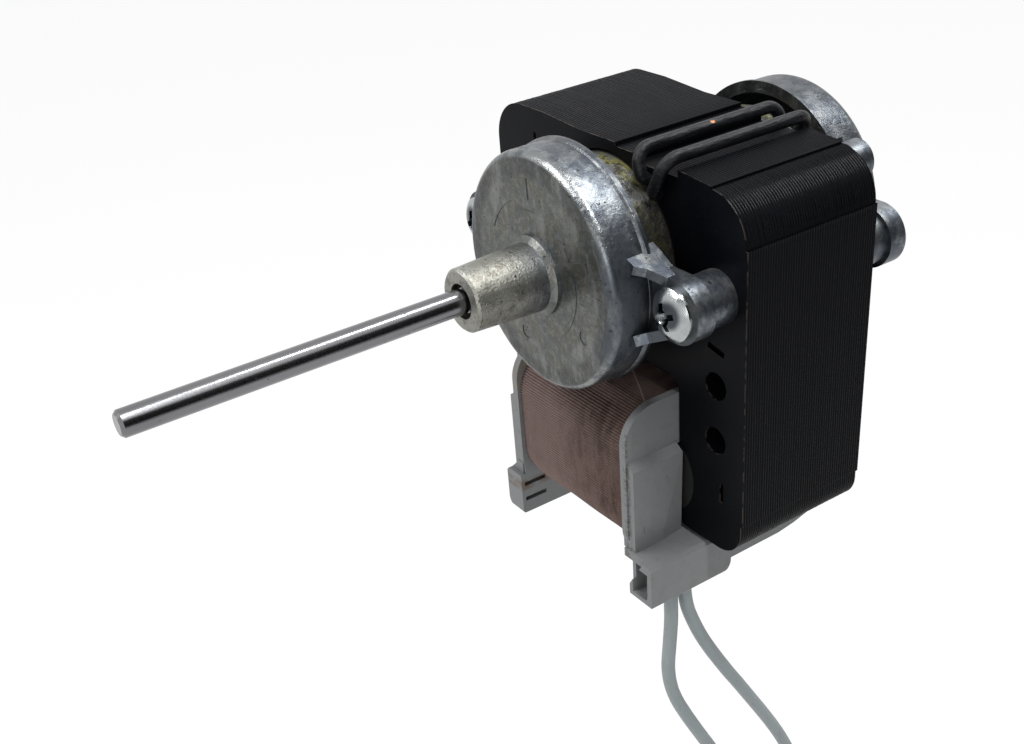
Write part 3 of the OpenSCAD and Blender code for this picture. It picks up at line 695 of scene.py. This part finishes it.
# floor, background and lamps
studio = {
    "floor": -0.216, "floorWhite": 0.92, "ambient": 0.40,
    "lamps": {  # place, width, height, watts, all aimed at the motor
        "topStrip": ((0.24, -0.06, 0.66), 0.07, 0.45, 4.0),
        "backStrip": ((0.07, 0.28, 0.60), 0.07, 0.40, 3.0),
        "keySoftbox": ((-0.24, -0.50, 0.60), 0.45, 0.45, 5.0),
        "sideSoftbox": ((0.55, -0.75, 0.15), 0.35, 0.35, 1.6),
    },
    "flags": {  # black cards, seen in the metal only: place, width, height
        "sideFlag": ((0.74, 0.27, 0.15), 1.8, 0.92),
        "frontFlag": ((0.14, -0.56, 0.44), 0.40, 0.30),
    },
}


def seenDirectly(shop):
    rays = shop.node("ShaderNodeLightPath", {}, {})
    seen = rays.pick("Is Camera Ray") + rays.pick("Is Glossy Ray") + rays.pick("Is Transmission Ray")
    return shop.node("ShaderNodeClamp", {}, {"Value": seen})


def addFloor(d):
    mesh = bpy.data.meshes.new("studioFloor")
    mesh.from_pydata([(-6, -6, d["floor"]), (6, -6, d["floor"]), (6, 6, d["floor"]), (-6, 6, d["floor"])],
                     [], [(0, 1, 2, 3)])
    floor = bpy.data.objects.new("studioFloor", mesh)
    scene.collection.objects.link(floor)
    m = Shop("floorPaper")
    m.done(Base_Color=(0.86, 0.86, 0.86), Roughness=0.9)
    glow = m.tree.nodes.new("ShaderNodeEmission")
    blend = m.tree.nodes.new("ShaderNodeMixShader")
    m.put(blend.inputs[0], seenDirectly(m) * d["floorWhite"])
    m.tree.links.new(m.shader.outputs[0], blend.inputs[1])
    m.tree.links.new(glow.outputs[0], blend.inputs[2])
    m.tree.links.new(blend.outputs[0], m.end.inputs["Surface"])
    mesh.materials.append(m.material)


class Sky(Shop):
    def __init__(self, world):
        self.tree = world.node_tree
        self.tree.nodes.clear()


def setWorld(d):
    world = bpy.data.worlds.new("studioAir")
    world.use_nodes = True
    scene.world = world
    m = Sky(world)
    end = m.tree.nodes.new("ShaderNodeOutputWorld")
    air = m.tree.nodes.new("ShaderNodeBackground")
    m.put(air.inputs["Strength"], d["ambient"] + seenDirectly(m) * (1 - d["ambient"]))
    m.put(air.inputs["Color"], (1, 1, 1))
    m.tree.links.new(air.outputs[0], end.inputs["Surface"])


def addLamps(d):
    for name, (place, width, height, watts) in d["lamps"].items():
        data = bpy.data.lights.new(name, "AREA")
        data.shape = "RECTANGLE"
        data.size, data.size_y = width, height
        data.energy = watts
        ob = bpy.data.objects.new(name, data)
        scene.collection.objects.link(ob)
        ob.location = place
        ob.rotation_euler = (Vector((0, -0.03, -0.02)) - Vector(place)).to_track_quat("-Z", "Y").to_euler()


def addFlags(d):
    cloth = Shop("flagCloth").done(Base_Color=(0.01, 0.01, 0.01), Roughness=1.0)
    for name, (place, width, height) in d["flags"].items():
        mesh = bpy.data.meshes.new(name)
        mesh.from_pydata([(-width / 2, -height / 2, 0), (width / 2, -height / 2, 0), (width / 2, height / 2, 0),
                          (-width / 2, height / 2, 0)], [], [(0, 1, 2, 3)])
        mesh.materials.append(cloth)
        flag = bpy.data.objects.new(name, mesh)
        scene.collection.objects.link(flag)
        flag.location = place
        flag.rotation_euler = (Vector((0, -0.03, -0.02)) - Vector(place)).to_track_quat("-Z", "Y").to_euler()
        for ray in ("camera", "diffuse", "transmission", "shadow"):
            setattr(flag, "visible_" + ray, False)


addFloor(studio)
addFlags(studio)
setWorld(studio)
addLamps(studio)
scene.view_settings.view_transform = "Standard"
print("studio lit")
